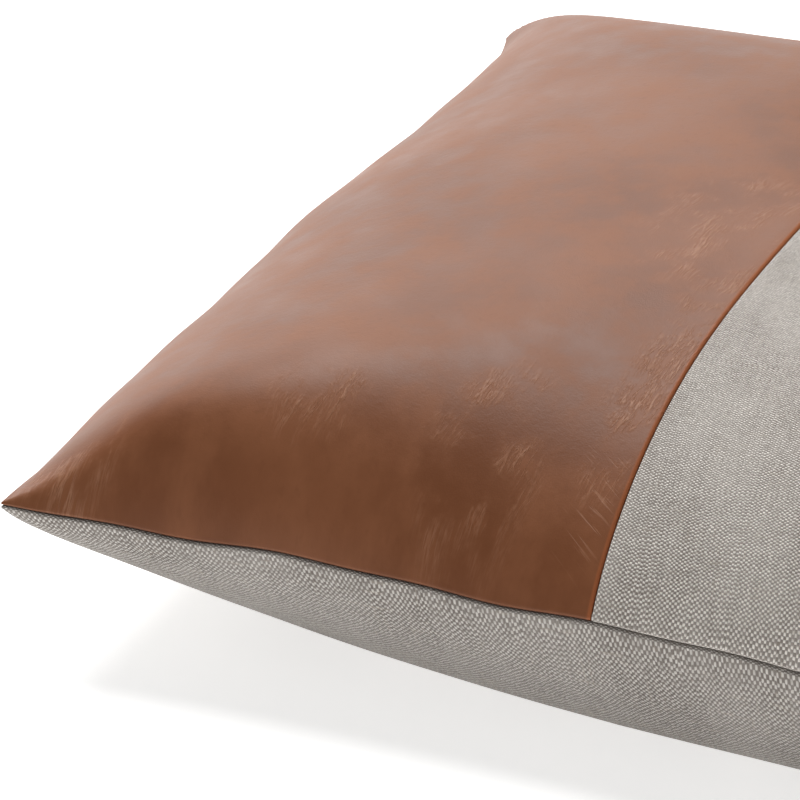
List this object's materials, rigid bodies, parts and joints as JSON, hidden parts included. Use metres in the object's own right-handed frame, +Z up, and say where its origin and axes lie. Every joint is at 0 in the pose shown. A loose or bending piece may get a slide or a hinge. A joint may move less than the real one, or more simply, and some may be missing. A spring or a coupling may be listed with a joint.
{
  "type": "throw pillow",
  "caption": "Square knife-edge throw pillow, front half leather and half linen, linen back, with a concealed zip along one edge and a removable feather insert.",
  "frame": {"origin": "centre of the pillow's footprint, on the surface that it lies on", "axes": "+Z up through the crown; +X along the near edge from the leather half to the linen half, so the zip edge is at +X; +Y from the near edge to the far edge"},
  "size_m": [0.4956, 0.4956, 0.135],
  "materials": {
    "cognac_leather": "satin",
    "linen": "matte",
    "ticking": "matte",
    "filling": "matte",
    "thread": "matte",
    "zip_tape": "matte",
    "zip_coil": "satin",
    "zip_metal": "satin",
    "label": "satin"
  },
  "bodies": {
    "cover": {"leather_front_panel": "cognac_leather", "linen_front_panel": "linen", "linen_back_panel": "linen", "insert_top_ticking": "ticking", "insert_bottom_ticking": "ticking", "feather_filling": "filling", "edge_seam_thread": "thread", "panel_seam_thread": "thread", "insert_seam_thread": "thread", "upper_zip_thread": "thread", "lower_zip_thread": "thread", "zip_tape_upper": "zip_tape", "zip_tape_lower": "zip_tape", "zip_coil_upper": "zip_coil", "zip_coil_lower": "zip_coil", "zip_top_stop_upper": "zip_metal", "zip_top_stop_lower": "zip_metal", "zip_bottom_stop": "zip_metal", "care_label": "label", "insert_label": "label"},
    "slider": {"zip_slider": "zip_metal"},
    "pull": {"zip_pull": "zip_metal"}
  },
  "joints": [
    {"name": "zip_travel", "type": "slide", "parent": "cover", "child": "slider", "axis": [0, 1, 0], "range_m": [0, 0.35]},
    {"name": "pull_swing", "type": "hinge", "parent": "slider", "child": "pull", "pos_m": [0.2403, -0.1755, 0.062], "axis": [0, 0, -1], "range_deg": [0, 165]}
  ]
}
